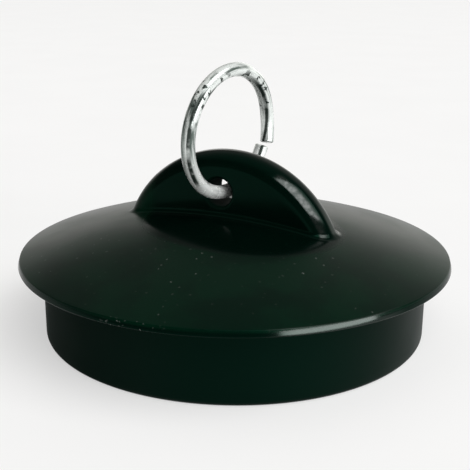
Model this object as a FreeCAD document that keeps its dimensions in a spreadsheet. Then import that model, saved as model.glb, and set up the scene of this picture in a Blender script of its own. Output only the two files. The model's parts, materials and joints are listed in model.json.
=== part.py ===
import FreeCAD, Part
import math
import os
import Sketcher

# Drain stopper: one rubber moulding that plugs a waste outlet, and a split wire ring in the eye of its tab.
# Millimetres, +Z up. The origin is the middle of the plug's lower rim, the tab runs along X, its eye along Y.

SIZES = (
    ("body_diameter", 44.45, "outside of the plug body, for a 1 3/4 inch waste"),
    ("body_height", 8.5, "lower rim to the underside of the flange"),
    ("body_wall", 3.0, "wall of the hollow body"),
    ("body_round", 0.6, "rounding of the lower rim's outer edge"),
    ("rim_round", 0.4, "rounding of the lower rim's inner edge"),
    ("neck_round", 0.4, "fillet between the body and the flange"),
    ("hollow_round", 1.5, "fillet round the ceiling of the hollow"),
    ("crown_wall", 5.0, "rubber above the hollow, at the middle of the dome"),
    ("flange_diameter", 50.0, "outside of the sealing flange"),
    ("flange_edge", 0.73, "height of the flange's outer edge"),
    ("flange_lean", 0.22, "how far the flange's outer edge leans in at its top"),
    ("flange_round", 0.12, "rounding of the flange's two edges"),
    ("dome_rise", 4.12, "flange's upper edge to the middle of the dome"),
    ("tab_radius", 14.3, "outer arc of the half-moon tab"),
    ("tab_height", 7.5, "middle of the dome to the top of the tab"),
    ("tab_thickness", 4.2, "across the tab's two faces"),
    ("tab_offset", -0.6, "middle of the tab along X, from the plug's axis"),
    ("tab_round", 1.85, "rounding of the tab's arched edges"),
    ("tab_foot", 0.5, "fillet where the tab meets the dome"),
    ("eye_offset", -0.5, "middle of the eye along X, from the middle of the tab"),
    ("eye_height", 2.82, "middle of the dome to the middle of the eye"),
    ("eye_play", 1.7, "eye diameter beyond the wire diameter"),
    ("eye_round", 0.3, "rounding of the eye's two edges"),
    ("wire_diameter", 1.6, "wire of the ring"),
    ("wire_drop", 0.2, "wire below the middle of the eye"),
    ("ring_inner_diameter", 12.5, "inside of the wire ring"),
    ("ring_gap", 0.4, "opening between the two cut ends of the wire"),
    ("ring_spread", 0.55, "how far the two cut ends stand apart sideways"),
    ("ring_bend", 45.0, "degrees of the ring that lean out to the upper cut end"),
    ("ring_split", 110.0, "degrees round the ring from its top to its cut ends"),
    ("ring_yaw", 11.2, "degrees that the ring is turned in the eye, seen from above"),
    ("ring_lean", 4.6, "degrees that the standing ring leans along the tab"),
    ("ring_slide", -0.33, "middle of the ring along the wire, from the middle of the eye"),
    ("wire_round", 0.15, "rounding of the wire's cut ends"),
)

# Places that several pieces share, worked out from the sheet.
SHOULDER_RADIUS = "(Sizes.flange_diameter / 2 - Sizes.flange_lean)"
DOME_TOP = "(Sizes.body_height + Sizes.flange_edge + Sizes.dome_rise)"
EYE_REACH = "(Sizes.tab_offset + Sizes.eye_offset)"
EYE_RADIUS = "((Sizes.wire_diameter + Sizes.eye_play) / 2)"
RING_RADIUS = "((Sizes.ring_inner_diameter + Sizes.wire_diameter) / 2)"
RING_TILT = f"asin(Sizes.ring_spread / ({RING_RADIUS} * (1 - cos(Sizes.ring_bend))))"

# A rounding takes at most this share of the wall that it runs along.
ROUND_SHARE = 0.45
# Plain face that is left between the tab's foot fillet and the eye's rounding.
EYE_LAND = 0.1
# Two places closer than this are the same place.
NEAR = 1e-3


def fill_sheet(sheet):
    """Write the driving sizes, one to a row, and give each cell its alias."""
    for row, (name, value, meaning) in enumerate(SIZES, start=1):
        sheet.set(f"A{row}", name)
        sheet.set(f"B{row}", str(value))
        sheet.setAlias(f"B{row}", name)
        sheet.set(f"C{row}", meaning)


def new_sketch(body, name):
    """A sketch on the body's own XZ plane: sketch x is X, sketch y is Z."""
    plane = next(item for item in body.Origin.OriginFeatures if item.Role == "XZ_Plane")
    sketch = body.newObject("Sketcher::SketchObject", name)
    sketch.AttachmentSupport = [(plane, "")]
    sketch.MapMode = "FlatFace"
    return sketch


def measure(owner, expression):
    """The present value of an expression of sheet sizes."""
    return float(owner.evalExpression(expression))


def dimension(sketch, name, expression, kind, *places):
    """A named dimension of the sketch, bound to the sheet."""
    value = measure(sketch, expression)
    index = sketch.addConstraint(Sketcher.Constraint(kind, *places, value))
    sketch.renameConstraint(index, name)
    sketch.setExpression(f"Constraints.{name}", expression)


def edges_where(feature, wanted):
    """Names of the feature's edges that pass the test, leaving out the dome's pole."""
    names = []
    for number, edge in enumerate(feature.Shape.Edges, start=1):
        if not edge.Degenerated and wanted(edge):
            names.append(f"Edge{number}")
    return names


def is_circle(edge, radius):
    return isinstance(edge.Curve, Part.Circle) and abs(edge.Curve.Radius - radius) < NEAR


def add_fillet(body, name, expression, wanted):
    """Round the edges of the body's present shape that pass the test."""
    doc.recompute()
    base = body.Tip
    names = edges_where(base, wanted)
    if not names:
        raise RuntimeError(f"{name} finds no edge to round")
    fillet = body.newObject("PartDesign::Fillet", name)
    fillet.Base = (base, names)
    fillet.setExpression("Radius", expression)
    return fillet


def ring_edge(radius, height):
    """Test for a horizontal circular edge about the plug's axis."""
    def wanted(edge):
        return is_circle(edge, radius) and abs(edge.Curve.Center.z - height) < NEAR
    return wanted


def dome_radius(shoulder, rise):
    """Radius of the sphere that passes through the flange's upper edge and the middle of the dome."""
    return (shoulder ** 2 + rise ** 2) / (2 * rise)


def draw_plug_profile(sketch):
    """Half section of the hollow plug: rim, body side, flange edge, dome and hollow."""
    wall = measure(sketch, "Sizes.body_wall")
    side = measure(sketch, "Sizes.body_diameter / 2")
    brim = measure(sketch, "Sizes.flange_diameter / 2")
    shoulder = measure(sketch, SHOULDER_RADIUS)
    seat = measure(sketch, "Sizes.body_height")
    edge = measure(sketch, "Sizes.body_height + Sizes.flange_edge")
    top = measure(sketch, DOME_TOP)
    ceiling = measure(sketch, f"{DOME_TOP} - Sizes.crown_wall")
    radius = dome_radius(shoulder, top - edge)

    def point(x, y):
        return FreeCAD.Vector(x, y, 0)

    middle = point(0, top - radius)
    dome_start = math.atan2(edge - middle.y, shoulder)
    dome_circle = Part.Circle(middle, FreeCAD.Vector(0, 0, 1), radius)

    rim = sketch.addGeometry(Part.LineSegment(point(side - wall, 0), point(side, 0)))
    flank = sketch.addGeometry(Part.LineSegment(point(side, 0), point(side, seat)))
    under = sketch.addGeometry(Part.LineSegment(point(side, seat), point(brim, seat)))
    lip = sketch.addGeometry(Part.LineSegment(point(brim, seat), point(shoulder, edge)))
    dome = sketch.addGeometry(Part.ArcOfCircle(dome_circle, dome_start, math.pi / 2))
    axis = sketch.addGeometry(Part.LineSegment(point(0, top), point(0, ceiling)))
    roof = sketch.addGeometry(Part.LineSegment(point(0, ceiling), point(side - wall, ceiling)))
    bore = sketch.addGeometry(Part.LineSegment(point(side - wall, ceiling), point(side - wall, 0)))

    outline = (rim, flank, under, lip, dome, axis, roof, bore)
    for line, following in zip(outline, outline[1:] + outline[:1]):
        sketch.addConstraint(Sketcher.Constraint("Coincident", line, 2, following, 1))
    for line in (under, roof):
        sketch.addConstraint(Sketcher.Constraint("Horizontal", line))
    for line in (flank, bore):
        sketch.addConstraint(Sketcher.Constraint("Vertical", line))
    sketch.addConstraint(Sketcher.Constraint("PointOnObject", rim, 1, -1))
    sketch.addConstraint(Sketcher.Constraint("PointOnObject", rim, 2, -1))
    sketch.addConstraint(Sketcher.Constraint("PointOnObject", axis, 1, -2))
    sketch.addConstraint(Sketcher.Constraint("PointOnObject", axis, 2, -2))
    sketch.addConstraint(Sketcher.Constraint("PointOnObject", dome, 3, -2))

    dimension(sketch, "body_radius", "Sizes.body_diameter / 2", "DistanceX", -1, 1, rim, 2)
    dimension(sketch, "body_wall", "Sizes.body_wall", "DistanceX", rim, 1, rim, 2)
    dimension(sketch, "body_height", "Sizes.body_height", "DistanceY", flank, 1, flank, 2)
    dimension(sketch, "flange_radius", "Sizes.flange_diameter / 2", "DistanceX", -1, 1, lip, 1)
    dimension(sketch, "flange_edge", "Sizes.flange_edge", "DistanceY", lip, 1, lip, 2)
    dimension(sketch, "flange_lean", "Sizes.flange_lean", "DistanceX", lip, 2, lip, 1)
    dimension(sketch, "dome_rise", "Sizes.dome_rise", "DistanceY", lip, 2, axis, 1)
    dimension(sketch, "crown_wall", "Sizes.crown_wall", "DistanceY", axis, 2, axis, 1)


def draw_tab_profile(sketch):
    """Half-moon of the tab: an arc closed by a chord inside the dome."""
    radius = measure(sketch, "Sizes.tab_radius")
    centre = measure(sketch, f"{DOME_TOP} + Sizes.tab_height - Sizes.tab_radius")
    chord = measure(sketch, f"{DOME_TOP} - Sizes.crown_wall / 2")
    reach = (radius ** 2 - (chord - centre) ** 2) ** 0.5
    right = FreeCAD.Vector(reach, chord, 0)
    left = FreeCAD.Vector(-reach, chord, 0)
    summit = FreeCAD.Vector(0, centre + radius, 0)

    arch = sketch.addGeometry(Part.Arc(right, summit, left))
    root = sketch.addGeometry(Part.LineSegment(left, right))
    sketch.addConstraint(Sketcher.Constraint("Coincident", arch, 2, root, 1))
    sketch.addConstraint(Sketcher.Constraint("Coincident", root, 2, arch, 1))
    sketch.addConstraint(Sketcher.Constraint("Horizontal", root))
    sketch.addConstraint(Sketcher.Constraint("PointOnObject", arch, 3, -2))
    dimension(sketch, "arch_radius", "Sizes.tab_radius", "Radius", arch)
    dimension(sketch, "arch_middle", f"{DOME_TOP} + Sizes.tab_height - Sizes.tab_radius",
              "DistanceY", -1, 1, arch, 3)
    dimension(sketch, "root_height", f"{DOME_TOP} - Sizes.crown_wall / 2", "DistanceY", -1, 1, root, 1)
    sketch.setExpression("AttachmentOffset.Base.x", "Sizes.tab_offset")


def draw_round(sketch, radius, height):
    """A circle on the sketch's vertical axis."""
    middle = FreeCAD.Vector(0, measure(sketch, height), 0)
    size = measure(sketch, radius)
    circle = sketch.addGeometry(Part.Circle(middle, FreeCAD.Vector(0, 0, 1), size))
    sketch.addConstraint(Sketcher.Constraint("PointOnObject", circle, 3, -2))
    dimension(sketch, "round_radius", radius, "Radius", circle)
    dimension(sketch, "round_height", height, "DistanceY", -1, 1, circle, 3)


def build_plug():
    """The rubber moulding: hollow body, flange and dome, with the tab and its eye."""
    body = doc.addObject("PartDesign::Body", "rubber_plug")
    body.Label = "rubber_plug"

    profile = new_sketch(body, "plug_profile")
    draw_plug_profile(profile)
    turned = body.newObject("PartDesign::Revolution", "plug_turned")
    turned.Profile = profile
    turned.ReferenceAxis = (profile, ["V_Axis"])
    turned.Angle = 360

    side = measure(profile, "Sizes.body_diameter / 2")
    inside = measure(profile, "Sizes.body_diameter / 2 - Sizes.body_wall")
    brim = measure(profile, "Sizes.flange_diameter / 2")
    shoulder = measure(profile, SHOULDER_RADIUS)
    seat = measure(profile, "Sizes.body_height")
    edge = measure(profile, "Sizes.body_height + Sizes.flange_edge")
    top = measure(profile, DOME_TOP)
    ceiling = measure(profile, f"{DOME_TOP} - Sizes.crown_wall")
    add_fillet(body, "lower_rim_round", "Sizes.body_round", ring_edge(side, 0))
    add_fillet(body, "inner_rim_round", "Sizes.rim_round", ring_edge(inside, 0))
    add_fillet(body, "hollow_fillet", "Sizes.hollow_round", ring_edge(inside, ceiling))
    add_fillet(body, "neck_fillet", "Sizes.neck_round", ring_edge(side, seat))

    def flange_edges(item):
        return ring_edge(brim, seat)(item) or ring_edge(shoulder, edge)(item)

    lip_room = f"Sizes.flange_edge * {ROUND_SHARE}"
    add_fillet(body, "flange_edge_round", f"min(Sizes.flange_round; {lip_room})", flange_edges)

    tab_profile = new_sketch(body, "tab_profile")
    draw_tab_profile(tab_profile)
    tab = body.newObject("PartDesign::Pad", "tab")
    tab.Profile = tab_profile
    tab.SideType = "Symmetric"
    tab.setExpression("Length", "Sizes.tab_thickness")

    arch_radius = measure(tab_profile, "Sizes.tab_radius")

    def arched_edge(item):
        return is_circle(item, arch_radius) and abs(item.Curve.Axis.y) > 1 - NEAR

    tab_room = f"Sizes.tab_thickness * {ROUND_SHARE}"
    add_fillet(body, "tab_round", f"min(Sizes.tab_round; {tab_room})", arched_edge)

    sphere = dome_radius(shoulder, top - edge)
    sphere_middle = FreeCAD.Vector(0, 0, top - sphere)
    tab_reach = (arch_radius + brim) / 2

    def foot_edge(item):
        spots = item.discretize(5)
        on_dome = all(abs((spot - sphere_middle).Length - sphere) < NEAR for spot in spots)
        near_tab = all(math.hypot(spot.x, spot.y) < tab_reach for spot in spots)
        return on_dome and near_tab

    foot_room = f"Sizes.eye_height - {EYE_RADIUS} - Sizes.eye_round - {EYE_LAND}"
    add_fillet(body, "tab_foot", f"min(Sizes.tab_foot; {foot_room})", foot_edge)

    eye_profile = new_sketch(body, "eye_profile")
    eye_profile.setExpression("AttachmentOffset.Base.x", EYE_REACH)
    draw_round(eye_profile, EYE_RADIUS, f"{DOME_TOP} + Sizes.eye_height")
    eye = body.newObject("PartDesign::Pocket", "eye")
    eye.Profile = eye_profile
    eye.SideType = "Symmetric"
    eye.setExpression("Length", "Sizes.tab_thickness * 2")

    eye_radius = measure(eye_profile, EYE_RADIUS)
    add_fillet(body, "eye_round", "Sizes.eye_round", lambda item: is_circle(item, eye_radius))
    doc.recompute()
    return body


def build_ring():
    """The wire ring: a flat arc, and from the same section a short arc that leans out to its cut end."""
    body = doc.addObject("PartDesign::Body", "wire_ring")
    body.Label = "wire_ring"
    half_gap = f"Sizes.ring_gap / {RING_RADIUS} * 90 / pi"
    for name, lean, turn in (("short", 1, "Sizes.ring_bend"), ("flat", 0, "360 - Sizes.ring_bend")):
        section = new_sketch(body, f"{name}_section")
        about_centre = FreeCAD.Rotation(FreeCAD.Vector(0, 0, 1), 1)
        section.AttachmentOffset = FreeCAD.Placement(FreeCAD.Vector(), about_centre)
        section.setExpression("AttachmentOffset.Rotation.Angle", f"{lean} * {RING_TILT}")
        section.setExpression("AttachmentOffset.Base.x", f"{lean} * {RING_RADIUS} * sin({RING_TILT})")
        section.setExpression("AttachmentOffset.Base.y", f"{lean} * {RING_RADIUS} * (1 - cos({RING_TILT}))")
        draw_round(section, "Sizes.wire_diameter / 2", RING_RADIUS)
        arc = body.newObject("PartDesign::Revolution", f"{name}_arc")
        arc.Profile = section
        arc.ReferenceAxis = (section, ["H_Axis"])
        arc.Reversed = name == "short"
        arc.setExpression("Angle", f"{turn} - {half_gap}")
    doc.recompute()

    wire_radius = measure(section, "Sizes.wire_diameter / 2")

    def cut_end(item):
        return is_circle(item, wire_radius) and abs(item.Curve.Center.y) > NEAR

    add_fillet(body, "cut_end_round", "Sizes.wire_round", cut_end)
    eye = f"vector({EYE_REACH}; 0; {DOME_TOP} + Sizes.eye_height)"
    ring_middle = f"vector(0; Sizes.ring_slide; {RING_RADIUS} - Sizes.wire_drop)"
    eye_frame = f"placement({eye}; rotation(-Sizes.ring_yaw; Sizes.ring_lean; 0))"
    ring_frame = f"placement({ring_middle}; rotation(0; 0; Sizes.ring_bend - Sizes.ring_split))"
    body.setExpression("Placement", f"{eye_frame} * {ring_frame}")
    doc.recompute()
    return body


def check_document():
    """Stop if any object failed to compute."""
    for item in doc.Objects:
        if "Invalid" in item.State or "Error" in item.State:
            raise RuntimeError(f"{item.Label} failed: {item.State}")


def write_parts(bodies):
    """Write each sub-part's shape under its own name."""
    for body in bodies:
        if body.Shape.isNull() or not body.Shape.isValid():
            raise RuntimeError(f"{body.Label} has no valid shape")
        if len(body.Shape.Solids) != 1:
            raise RuntimeError(f"{body.Label} is not one solid")
    os.makedirs("parts", exist_ok=True)
    for body in bodies:
        body.Shape.exportStep(f"parts/{body.Label}.step")
        box = body.Shape.optimalBoundingBox()
        print(f"{body.Label}: {body.Shape.Volume:.1f} mm3, x {box.XMin:.2f} to {box.XMax:.2f},"
              f" y {box.YMin:.2f} to {box.YMax:.2f}, z {box.ZMin:.2f} to {box.ZMax:.2f}")


doc = FreeCAD.newDocument("drain_stopper")
sizes = doc.addObject("Spreadsheet::Sheet", "Sizes")
fill_sheet(sizes)
doc.recompute()
sub_parts = [build_plug(), build_ring()]
check_document()
write_parts(sub_parts)
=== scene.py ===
import json
import math

import bmesh
import bpy
import numpy as np
from bpy.props import FloatProperty, FloatVectorProperty, PointerProperty
from mathutils import Matrix, Vector


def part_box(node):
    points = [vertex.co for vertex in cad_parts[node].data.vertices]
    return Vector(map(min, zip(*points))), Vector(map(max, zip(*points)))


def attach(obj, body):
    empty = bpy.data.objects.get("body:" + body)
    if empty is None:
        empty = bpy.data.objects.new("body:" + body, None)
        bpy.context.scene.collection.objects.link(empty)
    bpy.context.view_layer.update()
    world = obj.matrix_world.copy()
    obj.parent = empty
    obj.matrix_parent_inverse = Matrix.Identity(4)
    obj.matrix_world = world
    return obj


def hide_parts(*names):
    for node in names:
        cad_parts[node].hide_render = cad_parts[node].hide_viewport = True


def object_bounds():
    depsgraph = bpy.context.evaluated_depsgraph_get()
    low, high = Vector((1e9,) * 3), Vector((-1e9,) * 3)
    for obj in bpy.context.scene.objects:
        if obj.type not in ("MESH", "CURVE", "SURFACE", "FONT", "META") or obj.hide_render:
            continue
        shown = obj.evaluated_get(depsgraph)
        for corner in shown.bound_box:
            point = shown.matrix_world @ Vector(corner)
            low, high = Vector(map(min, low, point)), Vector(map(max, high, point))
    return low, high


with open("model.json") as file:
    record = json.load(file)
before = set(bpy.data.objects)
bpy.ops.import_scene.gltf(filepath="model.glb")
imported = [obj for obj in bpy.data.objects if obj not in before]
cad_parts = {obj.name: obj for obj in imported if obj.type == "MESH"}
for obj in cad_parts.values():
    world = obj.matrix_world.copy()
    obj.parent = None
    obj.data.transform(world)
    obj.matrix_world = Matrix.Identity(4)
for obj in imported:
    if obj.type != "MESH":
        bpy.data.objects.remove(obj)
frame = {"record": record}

# Drain stopper: a black rubber plug with a half-moon tab, and a bright wire ring in the eye of the tab.
# Metres, +Z up. The origin is the middle of the plug's lower rim, the tab runs along X, its eye along Y.

bl_info = {
    "name": "Drain Stopper",
    "version": (1, 0, 0),
    "blender": (4, 5, 0),
    "location": "View3D > Sidebar > Stopper",
    "description": "Builds a rubber bath plug with a wire ring, and a plain studio round it",
    "category": "Add Mesh",
}

MM = 0.001
CAD_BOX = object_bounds()
MOUNTS = {mount["name"]: mount for mount in frame["record"]["mounts"]}
BODY = MOUNTS["plug_body"]["dims"]
RING_MOUNT = MOUNTS["chain_ring"]
SWING = frame["record"]["behaviour"]["joints"][0]
PLUG_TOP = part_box("rubber_plug")[1].z

# Points closer than this are one point.
WELD = 1e-6


def length(label, meaning, default):
    """A size that a user may change, in metres."""
    return FloatProperty(name=label, description=meaning, default=default, min=0.0,
                         unit="LENGTH", subtype="DISTANCE", precision=5)


def angle(label, meaning, degrees):
    """A turn that a user may change."""
    return FloatProperty(name=label, description=meaning, default=math.radians(degrees),
                         unit="ROTATION", subtype="ANGLE")


def colour(label, meaning, default):
    """A linear colour that a user may change."""
    return FloatVectorProperty(name=label, description=meaning, default=default, size=3,
                               min=0.0, max=1.0, subtype="COLOR")


class PlugSizes(bpy.types.PropertyGroup):
    """Sizes of the rubber moulding."""
    body_radius: length("Body radius", "Outside of the plug body", BODY["r_mm"] * MM)
    body_height: length("Body height", "Lower rim to the underside of the flange",
                        MOUNTS["flange_seat"]["pos_m"][2])
    body_wall: length("Body wall", "Wall of the hollow body", 3.0 * MM)
    body_round: length("Body rounding", "Rounding of the lower rim's outer edge", 0.6 * MM)
    rim_round: length("Rim rounding", "Rounding of the lower rim's inner edge", 0.4 * MM)
    neck_round: length("Neck fillet", "Fillet between the body and the flange", 0.4 * MM)
    hollow_round: length("Hollow fillet", "Fillet round the ceiling of the hollow", 1.5 * MM)
    crown_wall: length("Crown wall", "Rubber above the hollow", 5.0 * MM)
    flange_radius: length("Flange radius", "Outside of the sealing flange", 24.99 * MM)
    flange_edge: length("Flange edge", "Height of the flange's outer edge", 0.73 * MM)
    flange_lean: length("Flange lean", "How far the flange's edge leans in at its top", 0.22 * MM)
    flange_round: length("Flange rounding", "Rounding of the flange's two edges", 0.12 * MM)
    dome_rise: length("Dome rise", "Flange's upper edge to the middle of the dome", 4.12 * MM)
    tab_radius: length("Tab radius", "Outer arc of the half-moon tab", 14.3 * MM)
    tab_thickness: length("Tab thickness", "Across the tab's two faces", 4.2 * MM)
    tab_round: length("Tab rounding", "Rounding of the tab's arched edges", 1.85 * MM)
    tab_foot: length("Tab foot", "Fillet where the tab meets the dome", 0.5 * MM)
    eye_shift: length("Eye shift", "Middle of the tab from the middle of the eye, along X", 0.5 * MM)
    eye_radius: length("Eye radius", "Bore of the eye", 1.65 * MM)
    eye_round: length("Eye rounding", "Rounding of the eye's two edges", 0.3 * MM)


class RingSizes(bpy.types.PropertyGroup):
    """Sizes of the wire ring."""
    ring_radius: length("Ring radius", "Middle line of the wire", 7.05 * MM)
    wire_radius: length("Wire radius", "Half the wire's thickness", 0.8 * MM)
    cut_gap: length("Cut gap", "Opening between the wire's two cut ends", 0.4 * MM)
    cut_spread: length("Cut spread", "How far the cut ends stand apart sideways", 0.55 * MM)
    end_round: length("End rounding", "Rounding of the wire's cut ends", 0.15 * MM)
    unevenness: length("Unevenness", "Height of the dents in the drawn wire", 0.012 * MM)
    cut_bend: angle("Cut bend", "Stretch of the ring that leans out to its upper cut end", 45.0)
    cut_turn: angle("Cut turn", "From the top of the ring round to its cut", 110.0)


class Finishes(bpy.types.PropertyGroup):
    """Colours of the two materials."""
    rubber: colour("Rubber", "Black moulded rubber", (0.0003, 0.0035, 0.0022))
    rubber_gloss: colour("Rubber gloss", "Tint of what the rubber mirrors head on", (0.25, 1.0, 0.65))
    # The film is lighter than the bare rubber, so leaving it off round the tab paints the tab's dark
    # reflection on the dome.
    film: colour("Film", "Dull film on the dome", (0.0005, 0.0095, 0.0044))
    dust: colour("Dust", "Specks and scuffs on the rubber", (0.16, 0.17, 0.16))
    wire: colour("Wire", "Bright plated wire", (0.72, 0.76, 0.74))
    # Painted light: colour of the wire's lower stretch near the eye, brighter to make up for the light it
    # lacks facing the dark rubber.
    rubbed: colour("Rubbed wire", "Wire rubbed bright near the eye", (0.93, 0.96, 0.94))
    tarnish: colour("Tarnish", "Dull lanes along the wire", (0.10, 0.13, 0.115))
    # This colour also paints the dark line along the wire, a painted reflection.
    pits: colour("Pits", "Dark pits in the plating", (0.02, 0.03, 0.025))


class StageSettings(bpy.types.PropertyGroup):
    """Camera, floor and light."""
    view_turn: angle("View turn", "Camera's azimuth about the plug", 27.0)
    view_lift: angle("View lift", "Camera's height above the horizon", 17.23)
    view_roll: angle("View roll", "Camera's roll about its own axis", 0.42)
    view_distance: length("View distance", "Camera to the point it looks at", 105.77 * MM)
    view_height: length("View height", "Height of the point that the camera looks at", 10.72 * MM)
    lens: FloatProperty(name="Lens", description="Focal length on a 36 mm sensor", default=69.0,
                        unit="CAMERA")
    floor: colour("Floor", "Pale studio floor", (0.92, 0.92, 0.915))


def set_inputs(tree, node, inputs):
    """Set each of a node's inputs to a value, or link it to a socket."""
    for key, value in inputs.items():
        if isinstance(value, bpy.types.NodeSocket):
            tree.links.new(value, node.inputs[key])
        else:
            node.inputs[key].default_value = value


def add_node(tree, kind, inputs=None, **settings):
    """A node with its settings and its inputs, each a value or a socket."""
    node = tree.nodes.new(kind)
    for name, value in settings.items():
        setattr(node, name, value)
    set_inputs(tree, node, inputs or {})
    return node


def calc(tree, operation, first, second=0.0, third=0.0):
    """The result of one sum on numbers."""
    node = add_node(tree, "ShaderNodeMath", {0: first, 1: second, 2: third}, operation=operation)
    return node.outputs[0]


def vector_calc(tree, operation, first, second=(0, 0, 0), third=(0, 0, 0)):
    """The result of one sum on vectors, which is a number for a dot product or a length."""
    node = add_node(tree, "ShaderNodeVectorMath", {0: first, 1: second, 2: third}, operation=operation)
    return node.outputs["Value" if operation in ("DOT_PRODUCT", "LENGTH") else "Vector"]


def remap(tree, value, low, high, to_low=0.0, to_high=1.0):
    """A number carried smoothly from one range to another, and held at its ends."""
    node = add_node(tree, "ShaderNodeMapRange", {0: value, 1: low, 2: high, 3: to_low, 4: to_high},
                    interpolation_type="SMOOTHSTEP")
    return node.outputs[0]


def noise(tree, place, scale, detail=2.0):
    """Soft noise from 0 to 1 at a place, with so many waves to the metre."""
    node = add_node(tree, "ShaderNodeTexNoise", {"Vector": place, "Scale": scale, "Detail": detail})
    return node.outputs["Fac"]


def make_tree(name, inputs):
    """An empty Geometry Nodes tree with named inputs, and the identifier of each input."""
    tree = bpy.data.node_groups.new(name, "GeometryNodeTree")
    tree.interface.new_socket(name="Geometry", in_out="INPUT", socket_type="NodeSocketGeometry")
    keys = {}
    for label, kind in inputs:
        socket = tree.interface.new_socket(name=label, in_out="INPUT", socket_type=kind)
        keys[label] = socket.identifier
    tree.interface.new_socket(name="Geometry", in_out="OUTPUT", socket_type="NodeSocketGeometry")
    return tree, keys


def end_tree(tree, geometry, material):
    """Close a tree: smooth shading, no instances, one material."""
    smooth = add_node(tree, "GeometryNodeSetShadeSmooth", {"Geometry": geometry})
    real = add_node(tree, "GeometryNodeRealizeInstances", {"Geometry": smooth.outputs[0]})
    painted = add_node(tree, "GeometryNodeSetMaterial",
                       {"Geometry": real.outputs[0], "Material": material})
    add_node(tree, "NodeGroupOutput", {"Geometry": painted.outputs[0]})


def run_tree(tree, keys, values, mesh):
    """The plain mesh that a tree makes from a mesh and its inputs' values."""
    holder = bpy.data.objects.new(tree.name, mesh)
    bpy.context.scene.collection.objects.link(holder)
    modifier = holder.modifiers.new(tree.name, "NODES")
    modifier.node_group = tree
    for label, value in values.items():
        modifier[keys[label]] = value
    evaluated = holder.evaluated_get(bpy.context.evaluated_depsgraph_get())
    result = bpy.data.meshes.new_from_object(evaluated)
    holder.modifiers.clear()
    bpy.data.objects.remove(holder)
    return result


def add_piece(name, mesh, body, node):
    """Show a mesh as a piece that rides on a body in place of its CAD node."""
    piece = bpy.data.objects.new(name, mesh)
    bpy.context.scene.collection.objects.link(piece)
    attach(piece, body)
    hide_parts(node)
    return piece


def new_material(name):
    """A node material, its tree, its Principled shader and the piece's own coordinates."""
    material = bpy.data.materials.new(name)
    material.use_nodes = True
    tree = material.node_tree
    shader = tree.nodes["Principled BSDF"]
    place = add_node(tree, "ShaderNodeTexCoord").outputs["Object"]
    return material, tree, shader, place


def distance(tree, place, spot, shape=(1, 1, 1)):
    """Distance from a spot, with each axis drawn out or left out."""
    apart = vector_calc(tree, "SUBTRACT", place, spot)
    return vector_calc(tree, "LENGTH", vector_calc(tree, "MULTIPLY", apart, shape))


def mix_colour(tree, share, first, second):
    """A colour between two, each given as a value or a socket."""
    sockets = {0: share}
    for key, value in ((6, first), (7, second)):
        sockets[key] = value if isinstance(value, bpy.types.NodeSocket) else (*value, 1)
    return add_node(tree, "ShaderNodeMix", sockets, data_type="RGBA").outputs[2]


def product(tree, *values):
    """All the numbers multiplied together."""
    result = values[0]
    for value in values[1:]:
        result = calc(tree, "MULTIPLY", result, value)
    return result


def between(tree, value, rise, fall):
    """1 where a number is past its rise and short of its fall, each given by its ends, and 0 elsewhere."""
    return product(tree, remap(tree, value, *rise), remap(tree, value, *fall))


def direction(bearing, lift):
    """Unit vector at a bearing from +Y towards +X and a lift above the horizon, in degrees."""
    bearing, lift = math.radians(bearing), math.radians(lift)
    level = math.cos(lift)
    return Vector((math.sin(bearing) * level, math.cos(bearing) * level, math.sin(lift)))


EDGE_RADIUS = CAD_BOX[1].x
# Scuffs on the flange's edge lie round this point.
SCUFF_SPOT = (1.6 * MM, -24.8 * MM, 8.9 * MM)
SCUFF_REACH = 4.0 * MM
# The flange's edge is rubbed bright this far round this point, with this weight of shine.
BAND_SPOT = (19.6 * MM, -15.5 * MM, 8.9 * MM)
BAND_REACH = 8.5 * MM
BAND_SHINE = 0.3
# A dull film covers the dome outside an oval round the tab, drawn out along it. The darker bare rubber left
# inside the oval is a painted reflection of the dark tab in the dome.
PAINTED_REFLECTION_MIDDLE = (1.8 * MM, -1.8 * MM, 0.0)
PAINTED_REFLECTION_SHAPE = (0.824, 1.0, 0.0)
PAINTED_REFLECTION_EDGE = (9.1 * MM, 10.1 * MM)
# The body is dullest on the side that faces this bearing, and less dull at the far end of that side.
DULL_BEARING = 243.0
DULL_RISE = (5.0 * MM, 16.0 * MM)
DULL_FALL = (22.2 * MM, 20.4 * MM)
DULL_REST = 0.3
# The tab's shoulder is rubbed bright this far round its middle, which lies at this turn of its arch.
SHINE_REACH = 4.9 * MM
SHINE_TURN = math.radians(46.0)
# That shine lies on the rounding of the tab's edge, and starts and ends this far out along it.
SHINE_RISE = (0.90 * MM, 1.20 * MM)
SHINE_FALL = (1.75 * MM, 1.40 * MM)
# Waves to the metre of the film's patches, the gloss, the drifts of dust, the scuffs, the shine and the skin.
FILM_WAVES = 150.0
GLOSS_WAVES = 160.0
DRIFT_WAVES = 130.0
SCUFF_WAVES = 2300.0
SHINE_WAVES = 2100.0
SKIN_WAVES = 900.0
# Specks of dust: cells to the metre, and the waves and the reach by which they are stirred.
SPECK_CELLS = 750.0
STIR_WAVES = 2500.0
STIR_REACH = 0.4 * MM
# How much rougher each cover makes the rubber.
FILM_DULLS = 0.17
BORE_DULLS = 0.6
BODY_DULLS = 0.3
SIDE_DULLS = 0.34
MARK_DULLS = 0.35
# Depth of the skin's relief, and how far marks stand out of it as a share of that depth.
SKIN_DEPTH = 0.0012 * MM
MARK_HEIGHT = 0.5


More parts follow.
